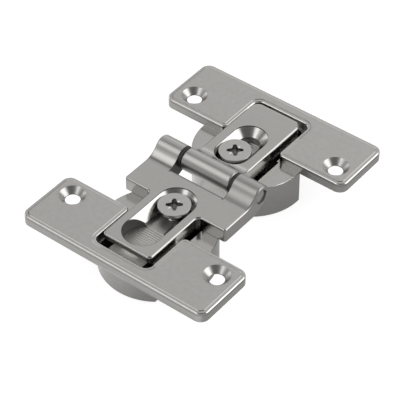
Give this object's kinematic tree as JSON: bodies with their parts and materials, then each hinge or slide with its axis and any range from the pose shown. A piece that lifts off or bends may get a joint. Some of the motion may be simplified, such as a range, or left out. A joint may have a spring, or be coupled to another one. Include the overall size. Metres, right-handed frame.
{
  "type": "folding door hinge",
  "caption": "Concealed hinge for a folding door: flanged cups for bored holes, slotted arms clamped by countersunk screws, and interleaved knuckles on a pin",
  "frame": {"origin": "middle of the hinge on the plane of the two cup bottoms", "axes": "+X along the pin, +Y from the near door to the far door, +Z out of the doors' faces"},
  "size_m": [0.0652, 0.0856, 0.0199],
  "materials": {
    "plated_casting": "satin nickel plate on zinc casting",
    "plated_steel": "nickel plated steel",
    "black_washer": "black moulded plastic"
  },
  "bodies": {
    "near_cup": {"near_cup_plate": "plated_casting", "near_clamp_screw": "plated_steel"},
    "near_arm": {"near_arm": "plated_casting", "hinge_pin": "plated_steel", "left_washer": "black_washer", "right_washer": "black_washer"},
    "far_arm": {"far_arm": "plated_casting"},
    "far_cup": {"far_cup_plate": "plated_casting", "far_clamp_screw": "plated_steel"}
  },
  "joints": [
    {"name": "near_adjust", "type": "slide", "parent": "near_cup", "child": "near_arm", "axis": [0, 1, 0], "range_m": [-0.0008, 0.0132]},
    {"name": "fold", "type": "hinge", "parent": "near_arm", "child": "far_arm", "pos_m": [0, 0.0027, 0.0164], "axis": [1, 0, 0], "range_deg": [0, 180]},
    {"name": "far_adjust", "type": "slide", "parent": "far_arm", "child": "far_cup", "axis": [0, 1, 0], "range_m": [-0.0008, 0.0066]}
  ]
}
